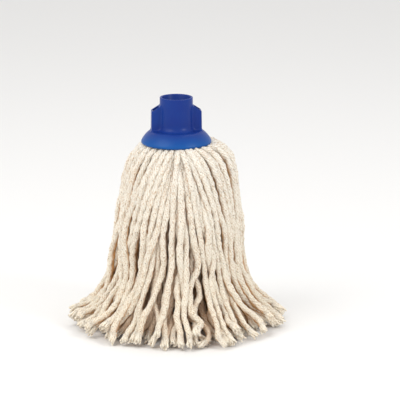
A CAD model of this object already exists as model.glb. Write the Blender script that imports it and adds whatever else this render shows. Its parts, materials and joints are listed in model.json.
"""Looks of the string mop head: a moulded blue socket over a full head of cut cotton yarn."""

import json
import math

import bpy
import numpy as np
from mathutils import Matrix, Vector


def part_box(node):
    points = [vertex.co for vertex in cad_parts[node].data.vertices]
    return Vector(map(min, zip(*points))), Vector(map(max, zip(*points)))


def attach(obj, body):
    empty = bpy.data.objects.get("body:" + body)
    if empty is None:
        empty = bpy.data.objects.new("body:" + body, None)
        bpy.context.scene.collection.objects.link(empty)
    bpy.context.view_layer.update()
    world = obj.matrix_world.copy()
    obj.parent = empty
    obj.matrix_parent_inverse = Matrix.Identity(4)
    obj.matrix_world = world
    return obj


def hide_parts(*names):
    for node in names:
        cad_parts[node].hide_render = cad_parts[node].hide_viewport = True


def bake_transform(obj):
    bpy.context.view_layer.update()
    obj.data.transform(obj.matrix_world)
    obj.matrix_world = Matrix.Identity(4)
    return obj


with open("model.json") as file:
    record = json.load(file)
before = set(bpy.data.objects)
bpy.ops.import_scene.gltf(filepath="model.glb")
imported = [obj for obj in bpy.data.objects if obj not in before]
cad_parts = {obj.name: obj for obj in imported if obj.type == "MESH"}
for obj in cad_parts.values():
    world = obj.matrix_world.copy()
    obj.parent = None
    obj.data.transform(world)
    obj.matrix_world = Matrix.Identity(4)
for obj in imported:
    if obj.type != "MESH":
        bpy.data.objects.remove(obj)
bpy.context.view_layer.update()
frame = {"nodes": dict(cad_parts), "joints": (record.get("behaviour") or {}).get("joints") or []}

MM = 0.001
SEED = 11

# ---------------------------------------------------------------- sizes, in millimetres

RIM_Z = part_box("socket")[1].z / MM          # rim of the handle socket
CUP_LOW_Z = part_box("socket")[0].z / MM      # closed lower end of its bore
SKIRT_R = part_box("socket")[1].x / MM        # widest radius of the skirt
LOCK_JOINTS = [j for j in frame["joints"] if j["child"].startswith("yarn_lock")]
LOCKS = len(LOCK_JOINTS)
LOCK_ANGLE = 360 // LOCKS
BUNDLES = sum(name.startswith("core_bundle") for name in frame["nodes"])

NECK_R = 15.3                # outside of the neck tube
BORE_R = 11.9
BORE_H = 38.0                # straight part, below the lead-in
MOUTH_R = 13.5               # bore at the rim
LEAD_IN_H = 6.0
WING_TOP_X = 22.9            # outer side of a wing, at the rim's height
WING_LOW_X = 23.4            # and at the skirt
WING_HALF_T = 5.7
WING_DROP_IN = 7.8           # a wing's top below the rim, at the neck
WING_DROP_OUT = 12.6         # and at its outer side
POCKET_IN_X = 16.3           # the opening in a wing's sloping top
POCKET_OUT_X = 21.6
POCKET_HALF_W = 4.3
POCKET_FLOOR_Z = 193.5
SKIRT_Z = 172.2              # the skirt's lower edge
SKIRT_H = 12.6
SKIRT_TOP_R = 22.7
SKIRT_WALL = 2.2
DOME_POWER = 1.38            # how square the dome's shoulder is
DOME_PROUD = 0.3             # the dome bulges this far past its driving sizes
NECK_FOOT_H = 4.0            # the neck and wings run down into the dome to this height
LIP_R = 1.1
SOCKET_GRID = 0.5            # step of the grid that the socket's mesh starts from

YARN_R = 2.95                # radius of a full strand
NECK_YARN_R = 2.9            # squeezed under the skirt
LENGTH = 190.0               # of a typical strand
PLIES = 7
TWIST = 0.2                  # radians for each millimetre

# ---------------------------------------------------------------- camera, lights and floor

CAMERA_AZIMUTH = -5.0
CAMERA_ELEVATION = 13.4
CAMERA_DISTANCE = 3.0
FRAME_WIDTH = 0.372          # seen at the mop's distance
AIM = (0.0219, 0.1182)       # to the right of the mop's axis, and up
SENSOR_WIDTH = 36.0
LIGHT_AIM_Z = 0.12
SKY_STRENGTH = 0.84
FLOOR_REACH = 4.0
# Area lights: azimuth and elevation in degrees, distance, side, watts and colour.
LIGHTS = {
    "left": (-58, 42, 1.3, 0.9, 7.6, (1, 0.985, 0.96)),
    "right": (50, 30, 1.4, 0.4, 5.4, (1, 0.99, 0.98)),
    "back": (165, 60, 1.4, 0.8, 2.5, (1, 1, 1)),
}


def direction(azimuth, elevation):
    """The unit vector from the mop to a place at that azimuth from the front, and elevation."""
    a, e = math.radians(azimuth), math.radians(elevation)
    return Vector((math.sin(a) * math.cos(e), -math.cos(a) * math.cos(e), math.sin(e)))


def stand(obj, aim, away, distance):
    """Links a camera or light, puts it at a distance from aim and points it there."""
    bpy.context.scene.collection.objects.link(obj)
    obj.location = aim + away * distance
    obj.rotation_mode = "QUATERNION"
    obj.rotation_quaternion = (-away).to_track_quat("-Z", "Y")


def make_camera():
    """The photograph's viewing angle, through a long lens."""
    a = math.radians(CAMERA_AZIMUTH)
    right = Vector((math.cos(a), math.sin(a), 0))
    data = bpy.data.cameras.new("camera")
    data.sensor_width = SENSOR_WIDTH
    data.lens = SENSOR_WIDTH * CAMERA_DISTANCE / FRAME_WIDTH
    camera = bpy.data.objects.new("camera", data)
    aim = right * AIM[0] + Vector((0, 0, AIM[1]))
    stand(camera, aim, direction(CAMERA_AZIMUTH, CAMERA_ELEVATION), CAMERA_DISTANCE)
    bpy.context.scene.camera = camera


def make_light(name, azimuth, elevation, distance, side, watts, colour):
    data = bpy.data.lights.new(name, "AREA")
    data.shape = "SQUARE"
    data.size = side
    data.energy = watts
    data.color = colour
    light = bpy.data.objects.new(name, data)
    stand(light, Vector((0, 0, LIGHT_AIM_Z)), direction(azimuth, elevation), distance)


def make_floor():
    mesh = bpy.data.meshes.new("floor")
    r = FLOOR_REACH
    mesh.from_pydata([(-r, -r, 0), (r, -r, 0), (r, r, 0), (-r, r, 0)], [], [(0, 1, 2, 3)])
    add_object("floor", mesh, Shader("pale_floor", (0.86, 0.86, 0.86), 0.6).material)


def make_studio():
    """A bright room, three soft lights and a pale floor."""
    scene = bpy.context.scene
    scene.view_settings.view_transform = "Standard"
    world = bpy.data.worlds.new("studio")
    scene.world = world
    world.use_nodes = True
    sky = world.node_tree.nodes["Background"]
    sky.inputs["Color"].default_value = (1.0, 0.99, 0.975, 1)
    sky.inputs["Strength"].default_value = SKY_STRENGTH
    for name, settings in LIGHTS.items():
        make_light(name, *settings)
    make_floor()


# ---------------------------------------------------------------- materials

PALE_Z = (0.02, 0.16)        # metres: yarn goes from warm to pale between these heights
THIN_Z = (0.185, 0.1745)     # plastic goes from thick to thin
SPECK_COLOUR = (0.2, 0.14, 0.09)
# Cotton: light, light near the floor, dark and deep.
COTTON_LOOK = ((0.985, 0.925, 0.83), (0.98, 0.885, 0.74), (0.6, 0.4, 0.22), (0.7, 0.38, 0.16))
# Plastics: colour, colour where it is thin, and roughness.
SOCKET_LOOK = ((0.007, 0.03, 0.21), (0.005, 0.088, 0.33), 0.34)
RETAINER_LOOK = ((0.021, 0.045, 0.27), (0.02, 0.06, 0.3), 0.5)


class Shader:
    """A Principled material and short calls that add nodes to it."""

    def __init__(self, name, colour, roughness):
        self.material = bpy.data.materials.new(name)
        self.material.use_nodes = True
        self.tree = self.material.node_tree
        self.principled = self.tree.nodes["Principled BSDF"]
        self.set("Base Color", (*colour, 1))
        self.set("Roughness", roughness)

    def set(self, socket, value):
        self.principled.inputs[socket].default_value = value

    def node(self, kind, **inputs):
        node = self.tree.nodes.new(kind)
        for key, value in inputs.items():
            node.inputs[key.replace("_", " ")].default_value = value
        return node

    def link(self, out, into):
        self.tree.links.new(out, into)

    def attribute(self, name):
        node = self.tree.nodes.new("ShaderNodeAttribute")
        node.attribute_name = name
        return node

    def noise(self, vector, scale, detail=3.0, roughness=0.55):
        node = self.node("ShaderNodeTexNoise", Scale=scale, Detail=detail, Roughness=roughness)
        self.link(vector, node.inputs["Vector"])
        return node.outputs["Fac"]

    def remap(self, value, low, high, to_low=0.0, to_high=1.0):
        node = self.node("ShaderNodeMapRange")
        for place, number in enumerate((low, high, to_low, to_high), start=1):
            node.inputs[place].default_value = number
        self.link(value, node.inputs[0])
        return node.outputs[0]

    def maths(self, operation, a, b=0.0):
        node = self.tree.nodes.new("ShaderNodeMath")
        node.operation = operation
        for place, value in enumerate((a, b)):
            if isinstance(value, (int, float)):
                node.inputs[place].default_value = value
            else:
                self.link(value, node.inputs[place])
        return node.outputs[0]

    def parts(self, vector):
        node = self.tree.nodes.new("ShaderNodeSeparateXYZ")
        self.link(vector, node.inputs[0])
        return node.outputs

    def joined(self, *parts):
        node = self.tree.nodes.new("ShaderNodeCombineXYZ")
        for place, part in enumerate(parts):
            self.link(part, node.inputs[place])
        return node.outputs[0]

    def scaled(self, vector, by):
        node = self.tree.nodes.new("ShaderNodeVectorMath")
        node.operation = "MULTIPLY"
        self.link(vector, node.inputs[0])
        node.inputs[1].default_value = by
        return node.outputs[0]

    def mix(self, share, a, b):
        node = self.tree.nodes.new("ShaderNodeMix")
        node.data_type = "RGBA"
        self.link(share, node.inputs["Factor"])
        for socket, value in ((node.inputs[6], a), (node.inputs[7], b)):
            if isinstance(value, tuple):
                socket.default_value = (*value, 1)
            else:
                self.link(value, socket)
        return node.outputs[2]

    def bump(self, height, distance, strength=1.0):
        node = self.node("ShaderNodeBump", Distance=distance, Strength=strength)
        self.link(height, node.inputs["Height"])
        self.link(node.outputs["Normal"], self.principled.inputs["Normal"])


def yarn_material(name, light, low_light, dark, deep):
    """Undyed cotton: plies and fibres that follow the twist, slubs, and specks of seed husk.

    yarn_co holds the cosine and sine of the place round the strand, and millimetres along it.
    low_light is the colour near the floor, dark that of the grooves, deep that of hidden yarn.
    """
    shader = Shader(name, light, 0.95)
    place = shader.attribute("yarn_co").outputs["Vector"]
    tint = shader.attribute("yarn_tint").outputs["Fac"]
    hidden = shader.attribute("yarn_deep").outputs["Fac"]
    coords = shader.tree.nodes.new("ShaderNodeTexCoord").outputs["Object"]

    x, y, along = shader.parts(place)
    turn = shader.maths("ADD", shader.maths("ARCTAN2", y, x), shader.maths("MULTIPLY", along, TWIST))
    ridge = shader.maths("ABSOLUTE", shader.maths("SINE", shader.maths("MULTIPLY", turn, PLIES / 2)))
    stretched = shader.maths("MULTIPLY", along, 0.045)
    lane = shader.joined(shader.maths("COSINE", turn), shader.maths("SINE", turn), stretched)
    fibres = shader.noise(lane, 9, 4, 0.7)
    slubs = shader.noise(coords, 130, 2, 0.5)
    patches = shader.noise(coords, 760, 2, 0.6)

    shade = shader.maths("MULTIPLY", tint, 0.25)
    shade = shader.maths("ADD", shade, shader.remap(slubs, 0.4, 0.7, 0, 0.25))
    shade = shader.maths("ADD", shade, shader.remap(patches, 0.5, 0.62, 0, 0.95))
    shade = shader.maths("ADD", shade, shader.remap(fibres, 0.5, 0.66, 0, 0.55))
    shade = shader.maths("ADD", shade, shader.remap(ridge, 0.0, 0.4, 0.8, 0))
    high = shader.remap(shader.parts(coords)[2], *PALE_Z)
    colour = shader.mix(high, low_light, light)
    colour = shader.mix(shader.remap(shade, 0.45, 2.1), colour, dark)
    colour = shader.mix(hidden, colour, deep)

    specks = shader.node("ShaderNodeTexVoronoi", Scale=270)
    shader.link(coords, specks.inputs["Vector"])
    near = shader.remap(specks.outputs["Distance"], 0.1, 0.17, 1, 0)
    chosen = shader.remap(specks.outputs["Color"], 0.3, 0.5)
    speck = shader.maths("MULTIPLY", near, shader.maths("MULTIPLY", chosen, 0.7))
    colour = shader.mix(speck, colour, SPECK_COLOUR)
    shader.link(colour, shader.principled.inputs["Base Color"])

    height = shader.maths("MULTIPLY", shader.maths("POWER", ridge, 0.6), 0.6)
    height = shader.maths("ADD", height, shader.maths("MULTIPLY", fibres, 0.8))
    height = shader.maths("ADD", height, shader.maths("MULTIPLY", patches, 0.9))
    shader.bump(height, 0.0011, 1.0)
    shader.set("Subsurface Weight", 0.35)
    shader.set("Subsurface Radius", (1, 1, 1))
    shader.set("Subsurface Scale", 0.0016)
    shader.set("Sheen Weight", 0.1)
    shader.set("Sheen Roughness", 0.6)
    shader.set("Specular IOR Level", 0.1)
    return shader.material


def plastic_material(name, colour, glow, roughness):
    """Moulded plastic: a faint flow pattern, fine texture and scuffs. glow shows where it is thin."""
    shader = Shader(name, colour, roughness)
    coords = shader.tree.nodes.new("ShaderNodeTexCoord").outputs["Object"]
    flow = shader.remap(shader.noise(coords, 38, 2), 0.35, 0.65, 0, 0.12)
    thin = shader.remap(shader.parts(coords)[2], *THIN_Z, 0, 0.85)
    share = shader.maths("ADD", flow, thin)
    shader.link(shader.mix(share, colour, glow), shader.principled.inputs["Base Color"])
    scuffs = shader.noise(shader.scaled(coords, (1, 1, 2.5)), 160, 4, 0.65)
    rough = shader.remap(scuffs, 0.35, 0.7, roughness - 0.05, roughness + 0.1)
    shader.link(rough, shader.principled.inputs["Roughness"])
    grain = shader.maths("ADD", shader.noise(coords, 900, 2), shader.noise(coords, 120, 1))
    shader.bump(grain, 0.00006, 0.6)
    shader.set("Specular IOR Level", 0.18)
    return shader.material


# ---------------------------------------------------------------- meshes


def add_object(name, mesh, material):
    """Links an object that shows the mesh in one material."""
    mesh.materials.append(material)
    obj = bpy.data.objects.new(name, mesh)
    bpy.context.scene.collection.objects.link(obj)
    return obj


def root_piece(name, points, faces, material):
    """A smooth shaded piece that rides on the root, from points in millimetres."""
    mesh = bpy.data.meshes.new(name)
    mesh.from_pydata((points * MM).tolist(), [], faces.tolist())
    mesh.polygons.foreach_set("use_smooth", np.ones(len(mesh.polygons), bool))
    mesh.update()
    obj = add_object(name, mesh, material)
    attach(obj, "root")
    return obj


# ---------------------------------------------------------------- the socket, as a distance field


def smooth_min(a, b, width):
    """The smaller of two distances, blended where they are within width of each other."""
    h = np.clip(0.5 + 0.5 * (b - a) / width, 0, 1)
    return b + (a - b) * h - width * h * (1 - h)


def smooth_max(a, b, width):
    """The larger of two distances, blended in the same way."""
    return -smooth_min(-a, -b, width)


def dome_distance(r, z, inset):
    """Roughly the distance to the skirt's dome, taken in by inset: a flat top with a round shoulder."""
    top_r = SKIRT_TOP_R - inset
    deep = SKIRT_H - LIP_R - inset
    wide = SKIRT_R - inset - top_r
    u = np.maximum(r - top_r, 0) / wide
    v = np.maximum(z - SKIRT_Z - LIP_R, 0) / deep
    return ((u**DOME_POWER + v**DOME_POWER) ** (1 / DOME_POWER) - 1) * min(wide, deep) * 0.8


def socket_distance(p):
    """Distance to the socket's surface, below zero inside. The last number of each blend rounds it."""
    x, y, z = np.abs(p[:, 0]), np.abs(p[:, 1]), p[:, 2]
    r = np.hypot(x, y)
    neck = smooth_max(r - NECK_R, z - RIM_Z, 0.6)
    high = np.clip((z - SKIRT_Z - SKIRT_H) / (RIM_Z - SKIRT_Z - SKIRT_H), 0, 1)
    wing_x = WING_LOW_X + (WING_TOP_X - WING_LOW_X) * high
    fall = (WING_DROP_OUT - WING_DROP_IN) / (WING_TOP_X - NECK_R)
    slope = (z - RIM_Z + WING_DROP_IN + (x - NECK_R) * fall) / math.hypot(1, fall)
    wing = smooth_max(smooth_max(x - wing_x, y - WING_HALF_T, 0.8), slope, 0.35)

    dome = smooth_max(dome_distance(r, z, -DOME_PROUD), SKIRT_Z - z, 3.6)
    hub = smooth_max(r - NECK_R, CUP_LOW_Z - z, 0.6)
    inside = np.maximum(dome_distance(r, z, SKIRT_WALL), NECK_R - r)
    dome = smooth_max(dome, -inside, 0.8)
    above = SKIRT_Z + NECK_FOOT_H - z
    outer = smooth_min(np.maximum(neck, above), dome, 5.0)
    outer = smooth_min(np.maximum(wing, above), outer, 1.8)
    outer = np.minimum(outer, np.maximum(hub, z - SKIRT_Z - SKIRT_H))

    lead = BORE_R + (MOUTH_R - BORE_R) * np.clip((z - RIM_Z + LEAD_IN_H) / LEAD_IN_H, 0, 1.2)
    bore = smooth_max(r - lead, RIM_Z - LEAD_IN_H - BORE_H - z, 1.0)
    pocket_x = np.abs(x - (POCKET_IN_X + POCKET_OUT_X) / 2) - (POCKET_OUT_X - POCKET_IN_X) / 2
    pocket = np.maximum(np.maximum(pocket_x, y - POCKET_HALF_W), POCKET_FLOOR_Z - z)
    return smooth_max(smooth_max(outer, -bore, 0.7), -pocket, 0.4)


def surface_nets(distance, low, high, step):
    """A closed quad mesh of the zero level of a distance function, one vertex for each mixed cell."""
    axes = [np.arange(a, b + step, step) for a, b in zip(low, high)]
    shape = tuple(len(a) for a in axes)
    grid = np.stack(np.meshgrid(*axes, indexing="ij"), axis=-1).reshape(-1, 3)
    value = distance(grid).reshape(shape)
    inside = value < 0
    cells = tuple(n - 1 for n in shape)

    def corner(array, c):
        return array[tuple(slice(k, k + n) for k, n in zip(c, cells))]

    # The vertex of a cell is the mean of the places where its 12 edges cross the surface.
    total, count = np.zeros((*cells, 3)), np.zeros(cells)
    for start in np.ndindex(2, 2, 2):
        for axis in range(3):
            if start[axis] == 0:
                end = tuple(1 if k == axis else c for k, c in enumerate(start))
                a, b = corner(value, start), corner(value, end)
                mixed = corner(inside, start) != corner(inside, end)
                place = np.broadcast_to(np.array(start, float), (*cells, 3)).copy()
                place[..., axis] = np.where(mixed, a / np.where(mixed, a - b, 1), 0)
                total += place * mixed[..., None]
                count += mixed
    used = count > 0
    index = -np.ones(cells, int)
    index[used] = np.arange(used.sum())
    middle = total[used] / count[used][:, None]
    points = (np.argwhere(used) + middle) * step + np.array([a[0] for a in axes])

    # Each grid edge that crosses the surface gives a quad through the four cells around it.
    faces = []
    for axis in range(3):
        u, v = (axis + 1) % 3, (axis + 2) % 3
        first = [slice(1, n - 1) for n in shape]
        first[axis] = slice(0, shape[axis] - 1)
        second = list(first)
        second[axis] = slice(1, shape[axis])
        a, b = inside[tuple(first)], inside[tuple(second)]
        for flip, crossing in ((False, a & ~b), (True, ~a & b)):
            base = np.argwhere(crossing) + np.array([s.start for s in first])
            quad = []
            for du, dv in ((0, 0), (-1, 0), (-1, -1), (0, -1)):
                cell = base.copy()
                cell[:, u] += du
                cell[:, v] += dv
                quad.append(index[tuple(cell.T)])
            quad = np.stack(quad, axis=1)
            faces.append(quad[:, ::-1] if flip else quad)
    return points, np.concatenate(faces)


def settle_on(distance, points):
    """Moves points onto the zero level of a distance function, by short steps down its slope."""
    reach = 0.02
    longest = 0.2
    for _ in range(3):
        here = distance(points)
        sides = [distance(points + d) - distance(points - d) for d in np.eye(3) * reach]
        slope = np.stack([side / (2 * reach) for side in sides], axis=1)
        move = here[:, None] * slope / np.maximum((slope**2).sum(1), 0.25)[:, None]
        points = points - np.clip(move, -longest, longest)
    return points


def make_socket(material):
    """The moulding, meshed in a space with some room around it."""
    room = 1.3
    reach = SKIRT_R + room
    low = (-reach, -reach, CUP_LOW_Z - room)
    high = (reach, reach, RIM_Z + room)
    points, faces = surface_nets(socket_distance, low, high, SOCKET_GRID)
    points = settle_on(socket_distance, points)
    socket = root_piece("socket_moulding", points, faces, material)
    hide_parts("socket")


# ---------------------------------------------------------------- the yarn's course

POINTS = 50                  # along each strand
NECK_LENGTH = 32.0           # a strand is full this far from its start
FAN = 0.8                    # how much strands near the front and back are gathered at the neck
FAN_FULL = 26.0              # it is whole within these degrees of the middle of the front or back
FAN_EDGE = 64.0              # and fades over these degrees further round
FAN_LENGTH = 112.0           # they have fanned out this far from the skirt
FAN_LAYERS = (0, 2, 1, 3)    # gathered strands lie over each other, neighbours in this order
LAYER = 3.6                  # depth of one layer
SPREAD = 6.0                 # degrees, how far the ends part to both sides of the front and back
UNDER_SKIRT = 6.0            # length hidden before a strand comes out
RELAX_ROUNDS = 110
NEAR = 8.5                   # points closer than this may touch in the next rounds
NEAR_ROUNDS = 8              # rounds between two looks for near points
GIVE = 0.42                  # share of an overlap by which each of two strands gives way
GRID_CELLS = 1024            # along each axis, more than the yarn takes
LIP_LIFT = 1.2               # yarn turns over the lip this far above the lip's own middle
LIP_ROOM = 0.5               # between the lip and the yarn
LIP_PRESS = 0.8              # share of its radius that yarn keeps where it bends over the lip
FLOOR_PRESS = 0.9            # and where it lies on the floor
HOLD = 0.05                  # how firmly a point is drawn back to its course
START_LENGTH = 14.0          # it is held more and more over this length, wholly at the start
PACKING = 0.92               # share of its radius that a strand keeps beside another
NECK_PACKING = 0.33          # taken off that share at the neck, where the yarn is squeezed

# Rows of strands from the outside in: how many, and a strand's course as (radius, height).
ROWS = {
    "A": (48, [(25, 171), (31, 170), (37.4, 168.2), (43.8, 161), (49, 147), (52.8, 124),
               (56, 93), (57.4, 62), (63.5, 42), (75, 24), (98, 3.8)]),
    "B": (36, [(22, 167), (29.5, 165.3), (36, 162.5), (42, 155), (46.6, 141), (50, 120),
               (52, 93), (53.5, 62), (60, 40), (71, 22), (92, 3.4)]),
    "C": (36, [(19, 162), (27, 160), (33, 155), (38, 145), (42, 130), (45, 110),
               (46.5, 90), (48.5, 60), (55.5, 38), (68, 19), (89, 3.2)]),
    "D": (24, [(15, 158), (22, 154), (27.5, 148), (32, 138), (36, 120), (39, 95),
               (41.5, 62), (46.5, 37), (56, 18), (74, 3.2)]),
    "E": (18, [(10, 154), (15.5, 150), (20, 142), (24, 128), (27, 105), (29, 75),
               (31, 40), (34, 18), (40, 3.2)]),
    "F": (12, [(5, 153), (8, 149), (11, 140), (13.5, 120), (15, 90), (16, 55),
               (17.5, 25), (21, 3.2)]),
}
# How far inside the head each row lies, from 0 to 1, for its colour.
DEPTHS = {"A": 0, "B": 0.06, "C": 0.35, "D": 0.4, "E": 0.45, "F": 0.45}

PARTING_H = 55.0             # from a parting's top down to where it is fully open
# Gaps in the yarn, in degrees and millimetres: azimuth, push to each side, width, height of the top.
PARTINGS = [
    (280.6, 4.6, 13, 112), (236.5, 4.0, 12, 62), (266.5, 1.6, 8, 138), (252, 2.2, 9, 84),
    (297, 2.4, 9, 70), (318, 3.4, 12, 75), (352, 3.2, 12, 95), (28, 4.2, 13, 88),
    (61, 2.6, 10, 125), (97, 4.4, 13, 104), (131, 3.0, 10, 70), (163, 3.8, 12, 92),
    (204, 3.0, 11, 76),
]


def smooth(x):
    """Goes from 0 to 1 with x, level at both ends."""
    x = np.clip(x, 0, 1)
    return x * x * (3 - 2 * x)


def wave(turns, start):
    """The sine of a number of whole turns."""
    return np.sin(2 * math.pi * (turns + start))


def sample(values, s, at):
    """The rows of values, which are known at distances s, read at the distances in at."""
    return np.stack([np.interp(at, s, column) for column in values.T], axis=1)


def spline(points, count):
    """count points at equal steps along a smooth curve through points."""
    p = np.asarray(points, float)
    p = np.concatenate([2 * p[:1] - p[1:2], p, 2 * p[-1:] - p[-2:-1]])
    t = np.linspace(0, 1, 12, endpoint=False)[:, None]
    fine = []
    for a, b, c, d in zip(p, p[1:], p[2:], p[3:]):
        cubic = 3 * (b - c) + d - a
        fine.append(b + 0.5 * t * (c - a + t * (2 * a - 5 * b + 4 * c - d + t * cubic)))
    fine = np.concatenate([*fine, p[-2:-1]])
    far = np.concatenate([[0], np.cumsum(np.linalg.norm(np.diff(fine, axis=0), axis=1))])
    return sample(fine, far, np.linspace(0, far[-1], count))


def parted(azimuth, z):
    """The azimuth of a strand's points after the partings have pushed them aside."""
    for place, push, width, top in PARTINGS:
        away = (azimuth - place + 180) % 360 - 180
        pushed = push * smooth((top - z) / PARTING_H)
        azimuth = azimuth + pushed * np.tanh(away / 1.6) * np.exp(-((away / width) ** 2))
    return azimuth


class Strand:
    """One end of yarn: its row, its lock or bundle, and its own small differences."""

    def __init__(self, row, place, rng):
        """place counts the strands of a row, and rng draws the differences."""
        count = ROWS[row][0]
        self.row, self.place = row, place
        self.outer = row in "AB"
        step = 360 / count
        if self.outer:
            per_lock = count // LOCKS
            in_lock = place % per_lock
            self.owner = place // per_lock
            self.azimuth = LOCK_ANGLE * self.owner + (in_lock - (per_lock - 1) / 2) * step
            self.grouped = row == "B" or in_lock == (self.owner * 3 + 1) % per_lock
        else:
            self.owner = place // (count // BUNDLES)
            self.azimuth = (place + 0.5) * step
        self.azimuth += rng.normal(0, 0.9 if self.outer else 3)
        self.seed = rng.random(12)
        self.comes_out = row == "B" and place % 3 == 1
        self.stray = self.comes_out and self.seed[0] < 0.7
        self.size = np.clip(rng.normal(1, 0.085), 0.84, 1.12)

    def course(self):
        """The course the strand takes before it meets its neighbours.

        s runs from 0 at the start to 1 at the cut end, r is the distance from the mop's axis, and
        side is how far the strand sways round the mop.
        """
        profile = spline(ROWS[self.row][1], POINTS)
        if self.comes_out:
            share = smooth((np.arange(POINTS) / POINTS - 0.1) / 0.35)[:, None]
            outer = spline(ROWS["A"][1], POINTS)
            profile = profile + (outer - profile) * share
        r, z = profile.T.copy()
        s = np.linspace(0, 1, POINTS)
        q = self.seed
        loose = smooth((s - 0.14) / 0.5)     # 0 where the neck holds it, 1 where it hangs free
        foot = smooth((s - 0.68) / 0.32)     # 1 at the end, out on the floor
        outermost = self.row == "A" or self.comes_out

        # The shoulder at the right, +X, is fuller and higher than the one at the left.
        right = math.cos(math.radians(self.azimuth))
        shoulder = smooth((0.62 - s) / 0.3) * 3.2 + smooth((0.34 - s) / 0.2) * 1.6
        r += right * smooth((s - 0.03) / 0.1) * shoulder * outermost
        z += 2.6 * right * smooth(s / 0.08) * smooth((0.3 - s) / 0.2) * outermost

        # Ends reach more or less far over the floor, and a few are raised a little.
        r += foot * (q[1] - 0.6) * (13 if outermost else 18)
        z += foot * (1 - foot) * 22 * (q[2] - 0.4)
        if outermost:
            z += smooth((s - 0.82) / 0.18) * 10 * q[3] ** 2

        # It sways in and out, and to the side in a long and a short wave. It drifts to one side,
        # and its end turns and curls. A stray strand sways more and stands off the others.
        r += loose * 1.5 * wave(s * (1.2 + q[4]), q[5])
        side = loose * (1 + 1.3 * self.stray) * 3.2 * wave(s * (0.8 + q[6]), q[7])
        side += loose * wave(s * (3 + 2 * q[8]), q[9])
        side += smooth((s - 0.3) / 0.6) * (q[9] - 0.5) * 9
        side += foot * ((q[10] - 0.5) * 17 + 1.6 * wave(s * (3.5 + 3 * q[4]), q[8]))
        r += self.stray * loose * 2.2 * (1 - foot)
        azimuth = self.azimuth + np.degrees(side / np.maximum(r, 12))
        azimuth = parted(azimuth, z)
        fan, layers = self.fan(s * (LENGTH + UNDER_SKIRT) - UNDER_SKIRT)
        r -= LAYER * layers
        z -= LAYER * 0.5 * layers
        a = np.radians(azimuth + fan)
        return np.stack([r * np.cos(a), r * np.sin(a), z], axis=1)

    def fan(self, s):
        """The turn in degrees, and the layers inwards, at distance s from the skirt.

        Outer yarn leaves the neck mostly at the front and back, and fans out to the sides.
        """
        if not self.outer:
            return 0, 0
        away = self.azimuth % 180 - 90       # from the middle of the front or back
        gathered = np.clip(1 - s / FAN_LENGTH, 0, 1) ** 1.6

        def shift(angle):
            return FAN * angle * (1 - smooth((abs(angle) - FAN_FULL) / FAN_EDGE))

        slope = (shift(away + 2) - shift(away - 2)) / 4
        crowd = 1 / (1 - gathered * max(slope, 0)) - 1
        layers = np.minimum(FAN_LAYERS[self.place % len(FAN_LAYERS)], crowd)
        if self.row == "B":
            layers -= 0.9 * gathered * min(max(-slope, 0), 0.8)
        aside = SPREAD * math.sin(math.radians(2 * away)) * smooth((s - 70) / 110)
        return aside - shift(away) * gathered, layers

    def depth(self):
        """How far inside the head the strand lies, from 0 to 1."""
        return 0 if self.comes_out else DEPTHS[self.row]

    def radius(self, s):
        """Radius at distance s along the strand: squeezed at the neck, then full and uneven."""
        q = self.seed
        full = YARN_R * self.size * (
            1
            + 0.05 * wave(s / 31, q[0])
            + 0.045 * wave(s / 13.7, q[3])
            + 0.03 * wave(s / 6.1, q[5])
        )
        return NECK_YARN_R + (full - NECK_YARN_R) * smooth(s / NECK_LENGTH)


def near_pairs(points, owner, reach):
    """Pairs of points of different strands that are nearer than reach.

    Points are sorted by the key of their grid cell, and each pair of cells is looked at once.
    """

    def key_of(x, y, z):
        return (x * GRID_CELLS + y) * GRID_CELLS + z

    cell = np.floor(points / reach).astype(np.int64) + GRID_CELLS // 2
    key = key_of(*cell.T)
    order = np.argsort(key, kind="stable")
    ordered = key[order]
    offsets = [key_of(x, y, z) for x in (-1, 0, 1) for y in (-1, 0, 1) for z in (-1, 0, 1)]
    found = []
    for offset in (o for o in offsets if o >= 0):
        low = np.searchsorted(ordered, key + offset, "left")
        count = np.searchsorted(ordered, key + offset, "right") - low
        first = np.repeat(np.arange(len(points)), count)
        start = np.repeat(low - np.cumsum(count) + count, count)
        second = order[np.arange(count.sum()) + start]
        keep = owner[first] != owner[second]
        if offset == 0:
            keep &= first < second
        keep &= np.linalg.norm(points[first] - points[second], axis=1) < reach
        found.append(np.stack([first[keep], second[keep]]))
    return np.concatenate(found, axis=1)


def under_skirt(p, radius):
    """Keeps points clear of the skirt's lip, seen as a round bar that runs round the mop."""
    r = np.hypot(p[:, 0], p[:, 1])
    lip_r, lip_z = SKIRT_R - LIP_R, SKIRT_Z + LIP_R + LIP_LIFT
    dr, dz = r - lip_r, p[:, 2] - lip_z
    far = np.hypot(dr, dz)
    short = np.clip(radius * LIP_PRESS + LIP_R + LIP_ROOM - far, 0, None)
    short[(p[:, 2] > lip_z) & (r < lip_r)] = 0
    push = short / np.maximum(far, 0.1)
    p[:, 2] += dz * push
    p[:, :2] *= (1 + dr * push / np.maximum(r, 1))[:, None]


def smooth_along(shift):
    """Evens out how far the points of each strand have moved."""
    middle = 0.5 * (shift[:, :-2] + shift[:, 2:])
    shift[:, 1:-1] += 0.5 * (middle - shift[:, 1:-1])


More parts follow.
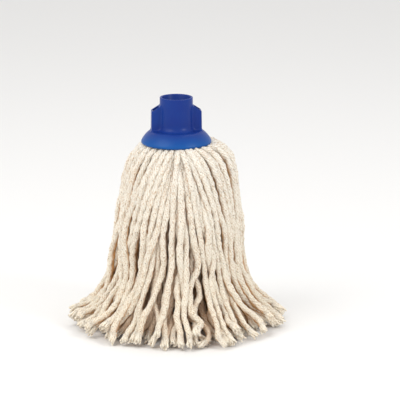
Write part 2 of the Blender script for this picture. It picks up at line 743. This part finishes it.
def relax(strands):
    """Strands settle beside each other: each keeps near its course, and two never share one place."""
    rest = np.stack([strand.course() for strand in strands])
    count, points = rest.shape[:2]
    owner = np.repeat(np.arange(count), points)
    s = np.linspace(0, LENGTH, points)
    radius = np.stack([strand.radius(s) for strand in strands]).ravel()
    held = HOLD + (1 - HOLD) * np.tile(smooth((START_LENGTH - s) / START_LENGTH), count)[:, None]
    packing = PACKING - NECK_PACKING * np.tile(smooth((60 - s) / 45), count)
    flat_rest = rest.reshape(-1, 3)
    p = flat_rest.copy()
    for step in range(RELAX_ROUNDS):
        if step % NEAR_ROUNDS == 0:
            a, b = near_pairs(p, owner, NEAR)
            space = radius[a] * packing[a] + radius[b] * packing[b]
        p += (flat_rest - p) * held
        apart = p[a] - p[b]
        far = np.linalg.norm(apart, axis=1)
        close = far < space
        i, j = a[close], b[close]
        share = GIVE * (space[close] - far[close]) / np.maximum(far[close], 0.05)
        for axis, move in enumerate((apart[close] * share[:, None]).T):
            p[:, axis] += np.bincount(i, move, len(p)) - np.bincount(j, move, len(p))
        shift = (p - flat_rest).reshape(rest.shape)
        smooth_along(shift)
        smooth_along(shift)
        p = flat_rest + shift.reshape(-1, 3)
        under_skirt(p, radius)
        p[:, 2] = np.maximum(p[:, 2], radius * FLOOR_PRESS)
    return p.reshape(rest.shape)


# ---------------------------------------------------------------- the yarn's mesh

# Detail of the outer strands, and of the inner ones: distance between a tube's rings and its sides,
# the plies of a cut end with their points and sides, and loose fibres.
FINE = {"step": 1.6, "sides": 14, "plies": PLIES, "ply_points": 7, "ply_sides": 6, "fibres": 24}
PLAIN = {"step": 2.6, "sides": 10, "plies": 4, "ply_points": 4, "ply_sides": 5, "fibres": 0}
WAVE = 0.115                 # how far a strand's outline strays from round
CUT_LENGTH = 10.0            # over which a cut end opens into its plies
TUBE_SHORT = 3.6             # a strand's tube stops this far before its cut
CORE_PLIES = 3               # more plies, in the middle of a cut end
FIBRE_R = 0.085
CORD_POINTS = 120


class Build:
    """Collects tubes into one mesh, with each vertex's place in its yarn and its strand's tint."""

    def __init__(self):
        self.points, self.places, self.tints, self.deeps = [], [], [], []
        self.faces, self.total = [], 0

    def tube(self, rings, places, tint, deep):
        """rings and places are (ring, side, 3) arrays. Both ends are closed."""
        count, sides = rings.shape[:2]
        index = self.total + np.arange(count * sides).reshape(count, sides)
        ahead = np.roll(index, -1, axis=1)
        quads = np.stack([index[:-1], ahead[:-1], ahead[1:], index[1:]], axis=-1)
        self.faces.append(quads.reshape(-1, 4))
        self.faces.append(np.stack([index[0][::-1], index[-1]]))
        self.points.append(rings.reshape(-1, 3))
        self.places.append(places.reshape(-1, 3))
        self.tints.append(np.full(count * sides, tint))
        self.deeps.append(deep.ravel())
        self.total += count * sides

    def finish(self, name, material):
        """Makes the mesh and its object. lengths is the number of corners of each face."""
        mesh = bpy.data.meshes.new(name)
        corners = np.concatenate([f.ravel() for f in self.faces])
        lengths = np.concatenate([np.full(len(f), f.shape[1]) for f in self.faces])
        mesh.vertices.add(self.total)
        mesh.loops.add(len(corners))
        mesh.polygons.add(len(lengths))
        mesh.vertices.foreach_set("co", (np.concatenate(self.points) * MM).ravel())
        mesh.loops.foreach_set("vertex_index", corners)
        mesh.polygons.foreach_set("loop_start", np.cumsum(lengths) - lengths)
        mesh.polygons.foreach_set("use_smooth", np.ones(len(lengths), bool))
        mesh.update(calc_edges=True)
        place = mesh.attributes.new("yarn_co", "FLOAT_VECTOR", "POINT")
        place.data.foreach_set("vector", np.concatenate(self.places).ravel())
        for label, values in (("yarn_tint", self.tints), ("yarn_deep", self.deeps)):
            attribute = mesh.attributes.new(label, "FLOAT", "POINT")
            attribute.data.foreach_set("value", np.concatenate(values))
        return add_object(name, mesh, material)


def frames_along(line):
    """Two directions square to a line at each point, carried along it without twist."""
    ahead = np.gradient(line, axis=0)
    ahead /= np.linalg.norm(ahead, axis=1)[:, None]
    across = np.empty_like(line)
    askew = (0.3, 0.2, 0.9)
    start = np.cross(ahead[0], askew)
    across[0] = start / np.linalg.norm(start)
    for k in range(1, len(line)):
        u = across[k - 1] - ahead[k] * (across[k - 1] @ ahead[k])
        across[k] = u / np.linalg.norm(u)
    return across, np.cross(ahead, across), ahead


def add_tube(build, line, radii, tint, sides, wave=0.0, seed=0.0, depth=0.0, lone=False):
    """A tube along a line. wave is how far its outline strays from round, turning along the tube.

    depth is how far inside the head it lies. A lone tube is one ply or fibre, with no grooves.
    """
    u, v, _ = frames_along(line)
    angle = np.linspace(0, 2 * math.pi, sides, endpoint=False)
    step = np.linalg.norm(np.diff(line, axis=0), axis=1)
    s = np.concatenate([[0], np.cumsum(step)])[:, None]
    turn = s / 9 + seed * 6.3
    out = 1 + wave * (
        0.5 * np.cos(2 * angle - turn)
        + 0.9 * np.cos(3 * angle - 0.55 * s + seed * 9)
        + 0.4 * np.cos(4 * angle - 3.9 * turn)
        + 0.5 * np.sin(s * 1.3 + 2 * np.sin(angle) + seed * 9)
    )
    reach = radii[:, None] * out
    c, d = np.cos(angle), np.sin(angle)
    rings = line[:, None] + u[:, None] * (reach * c)[..., None] + v[:, None] * (reach * d)[..., None]
    if lone:
        crest = math.pi / PLIES + 0.25 * c - TWIST * s
        c, d = np.cos(crest), np.sin(crest)
    places = np.stack([np.broadcast_to(part, reach.shape) for part in (c, d, s)], axis=-1)

    # The flanks of a strand, which turn away from the outside of the head, count as deep too.
    outward = line * (1, 1, 0) / np.maximum(np.hypot(line[:, 0], line[:, 1]), 1)[:, None]
    outward = outward + (0, 0, 0.4)
    facing = ((rings - line[:, None]) * outward[:, None]).sum(-1) / np.maximum(reach, 0.05)
    flank = smooth((0.22 - facing) / 0.62) * smooth((s - 13) / 25)
    build.tube(rings, places, tint, np.clip(depth + flank * (wave > 0), 0, 1))


def add_fibre(build, start, away, along, rng, tint):
    """A loose fibre that stands off the strand and bends over."""
    length = rng.uniform(2.0, 5.0)
    t = np.linspace(0, 1, 5)[:, None]
    bend = rng.uniform(-0.45, 0.45, 3)
    lean = along * rng.choice([-1, 1]) * length
    line = start + away * rng.uniform(0.6, 1.7) * t * (1.7 - 0.8 * t) + (lean + bend) * t**1.5
    line[:, 2] = np.maximum(line[:, 2], 0.15)
    add_tube(build, line, FIBRE_R * (1 - 0.6 * t[:, 0]), tint, sides=3, lone=True)


def add_strand(build, strand, path, rng):
    """The strand's tube, its cut end opened into plies, and loose fibres."""
    detail = FINE if strand.outer else PLAIN
    length = np.linalg.norm(np.diff(path, axis=0), axis=1).sum()
    line = spline(path, int(length / detail["step"]) + 1)
    s = np.linspace(0, length, len(line))
    tint = strand.seed[11]
    radii = strand.radius(s)
    swell = 1 + 0.06 * smooth((s - length + 11) / 11)
    closing = np.sqrt(np.clip((length - 4.0 - s) / 3.5, 0.0, 1))
    tube_radii = radii * swell * np.maximum(closing, 0.12)
    depth = strand.depth() * (1 - 0.5 * smooth((s - 165) / 25))
    whole = s < length - TUBE_SHORT
    add_tube(
        build, line[whole], tube_radii[whole], tint, detail["sides"],
        WAVE, strand.seed[2], depth[whole][:, None],
    )
    u, v, ahead = frames_along(line)
    add_cut_end(build, strand, s, (line, u, v), radii[-1], rng, detail)
    for _ in range(detail["fibres"]):
        k = rng.integers(int(18 / detail["step"]), len(line) - 4)
        turn = rng.uniform(0, 2 * math.pi)
        away = u[k] * math.cos(turn) + v[k] * math.sin(turn)
        add_fibre(build, line[k] + away * radii[k] * 0.9, away, ahead[k], rng, tint)


def add_cut_end(build, strand, s, along, radius, rng, detail):
    """The plies of the last stretch, laid round the strand's line and spread at the cut.

    along holds the line and the two directions square to it, at distances s.
    """
    length = s[-1]
    tail = along[0][-1] - along[0][-3]
    t = np.linspace(0, 1, detail["ply_points"])
    plies, sides = detail["plies"], detail["ply_sides"]
    thick = radius * 0.42 * (1 - 0.25 * t**3)
    for ply in range(plies + CORE_PLIES):
        core = ply >= plies
        reach = length + rng.normal(-0.4 - 0.6 * core, 1.1)
        at = length - CUT_LENGTH + (reach - length + CUT_LENGTH) * t
        turn = ply * 2 * math.pi / (CORE_PLIES if core else plies) + strand.seed[4] * 6 - at / 9
        turn = turn + rng.normal(0, 0.12)
        wide = 0.26 if core else 0.62
        out = wide * radius * (1 + (0.4 + rng.uniform(-0.3, 0.5)) * t**2)
        base, u, v = (sample(values, s, at) for values in along)
        past = np.clip(at - length, 0, None)[:, None]
        base = base + past * tail / np.linalg.norm(tail)
        path = base + u * (np.cos(turn) * out)[:, None] + v * (np.sin(turn) * out)[:, None]
        path[:, 2] = np.maximum(path[:, 2], 0.7)
        tint = 0.4 * strand.seed[11]
        add_tube(build, path, thick, tint, sides, seed=rng.random(), lone=True)


def piece_name(strand, names):
    """The piece that a strand is in: three outermost strands of each lock have one of their own."""
    if not strand.outer:
        return f"inner_strands_{strand.owner + 1}"
    lock = f"lock_{strand.owner + 1:02d}_"
    if strand.grouped:
        return lock + "strands"
    taken = sum(name.startswith(lock + "end_") for name in names)
    return f"{lock}end_{taken + 1}"


def make_yarn(material):
    """Draws every strand, lets them settle and gathers their tubes in named pieces."""
    rng = np.random.default_rng(SEED)
    strands = [Strand(row, k, rng) for row in ROWS for k in range(ROWS[row][0])]
    builds = {}
    for strand, path in zip(strands, relax(strands)):
        build = builds.setdefault(piece_name(strand, builds), Build())
        build.strand, build.path = strand, path
        add_strand(build, strand, path, rng)
    for name, build in builds.items():
        finish_yarn(name, build, material)


def finish_yarn(name, build, material):
    """Inner yarn stands with the root, and outer yarn bends under the lip and follows its lock."""
    strand = build.strand
    obj = build.finish(name, material)
    if not strand.outer:
        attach(obj, "root")
        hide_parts(f"core_bundle_{strand.owner + 1}")
        return
    lock = f"yarn_lock_{strand.owner + 1:02d}"
    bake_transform(obj)
    if strand.grouped:
        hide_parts(lock)
        return
    path = spline(build.path, CORD_POINTS) * MM


# ---------------------------------------------------------------- the yarn's folded middles

WAD_Z = 159.0                # middle of the disc
WAD_HALF_H = 3.5             # the disc without its round edge
WAD_R = 17.5
WAD_EDGE_R = 5.2
WAD_SPACE = (26.0, 26.0, 11.0)   # half sizes of the space that it is made in
WAD_GRID = 1.0


def wad_distance(p):
    """Distance to the yarn's folded middles: a packed disc with a lumpy round edge."""
    r = np.hypot(p[:, 0], p[:, 1])
    turn = np.arctan2(p[:, 1], p[:, 0])
    lumps = 0.6 * np.sin(21 * turn + 0.25 * p[:, 2]) + 0.3 * np.sin(0.9 * p[:, 2] + 5 * turn)
    high = np.abs(p[:, 2] - WAD_Z)
    return np.hypot(np.maximum(r - WAD_R, 0), np.maximum(high - WAD_HALF_H, 0)) - WAD_EDGE_R + lumps


def make_wad(material):
    middle = np.array([0, 0, WAD_Z])
    points, faces = surface_nets(wad_distance, middle - WAD_SPACE, middle + WAD_SPACE, WAD_GRID)
    wad = root_piece("packed_yarn", points, faces, material)
    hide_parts("yarn_wad")


# ---------------------------------------------------------------- the scene

make_camera()
make_studio()
COTTON = yarn_material("cotton_yarn", *COTTON_LOOK)
make_socket(plastic_material("blue_plastic", *SOCKET_LOOK))
make_wad(COTTON)
make_yarn(COTTON)
RETAINER = frame["nodes"]["retainer"]
RETAINER.data.materials.clear()
RETAINER.data.materials.append(plastic_material("hidden_plastic", *RETAINER_LOOK))
